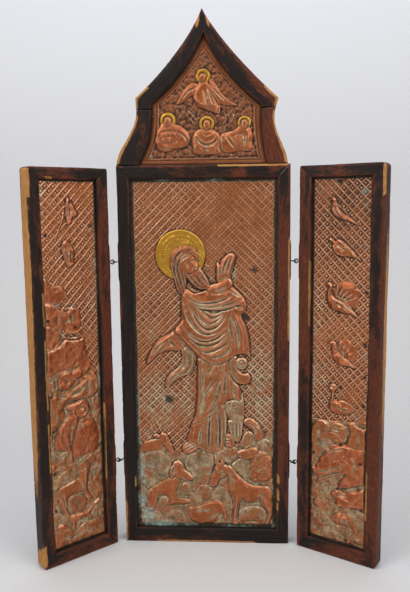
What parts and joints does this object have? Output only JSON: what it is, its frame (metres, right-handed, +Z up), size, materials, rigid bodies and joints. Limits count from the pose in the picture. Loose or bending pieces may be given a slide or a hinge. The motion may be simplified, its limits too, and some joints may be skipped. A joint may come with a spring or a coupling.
{
  "type": "triptych altarpiece",
  "caption": "Travelling altarpiece with a gabled wooden centre, worked copper relief sheets and folding wings hung on linked iron eyes; stands on its own edges.",
  "frame": {"origin": "centre of the central frame's underside, midway through its depth", "axes": "+Z up along the central panel, -Y out of its decorated front, +X to the right of someone who looks at the front"},
  "size_m": [0.3774, 0.0845, 0.6],
  "materials": {
    "frame_wood": "dark stained softwood, worn to red-brown and bare ochre at edges",
    "back_board": "plain planed board, brown stain",
    "worked_copper": "hammered sheet copper with brown and green patina, gilt halos",
    "hinge_iron": "dull dark iron"
  },
  "bodies": {
    "centre": {"bottom_rail": "frame_wood", "central_back_board": "back_board", "central_copper_sheet": "worked_copper", "cross_rail": "frame_wood", "gable_back_board": "back_board", "gable_copper_sheet": "worked_copper", "gable_left_cheek": "frame_wood", "gable_left_rafter": "frame_wood", "gable_right_cheek": "frame_wood", "gable_right_rafter": "frame_wood", "left_lower_centre_eye": "hinge_iron", "left_lower_centre_plate": "hinge_iron", "left_stile": "frame_wood", "left_upper_centre_eye": "hinge_iron", "left_upper_centre_plate": "hinge_iron", "right_lower_centre_eye": "hinge_iron", "right_lower_centre_plate": "hinge_iron", "right_stile": "frame_wood", "right_upper_centre_eye": "hinge_iron", "right_upper_centre_plate": "hinge_iron"},
    "left_wing": {"left_lower_wing_eye": "hinge_iron", "left_lower_wing_plate": "hinge_iron", "left_upper_wing_eye": "hinge_iron", "left_upper_wing_plate": "hinge_iron", "left_wing_back_board": "back_board", "left_wing_bottom_rail": "frame_wood", "left_wing_copper_sheet": "worked_copper", "left_wing_inner_stile": "frame_wood", "left_wing_outer_stile": "frame_wood", "left_wing_top_rail": "frame_wood"},
    "right_wing": {"right_lower_wing_eye": "hinge_iron", "right_lower_wing_plate": "hinge_iron", "right_upper_wing_eye": "hinge_iron", "right_upper_wing_plate": "hinge_iron", "right_wing_back_board": "back_board", "right_wing_bottom_rail": "frame_wood", "right_wing_copper_sheet": "worked_copper", "right_wing_inner_stile": "frame_wood", "right_wing_outer_stile": "frame_wood", "right_wing_top_rail": "frame_wood"}
  },
  "joints": [
    {"name": "left_wing_hinge", "type": "hinge", "parent": "centre", "child": "left_wing", "pos_m": [-0.1, -0.0097, 0.2165], "axis": [0, 0, 1], "range_deg": [-63.6, 136.4]},
    {"name": "right_wing_hinge", "type": "hinge", "parent": "centre", "child": "right_wing", "pos_m": [0.1, -0.0097, 0.2165], "axis": [0, 0, -1], "range_deg": [-51.2, 148.8]}
  ]
}
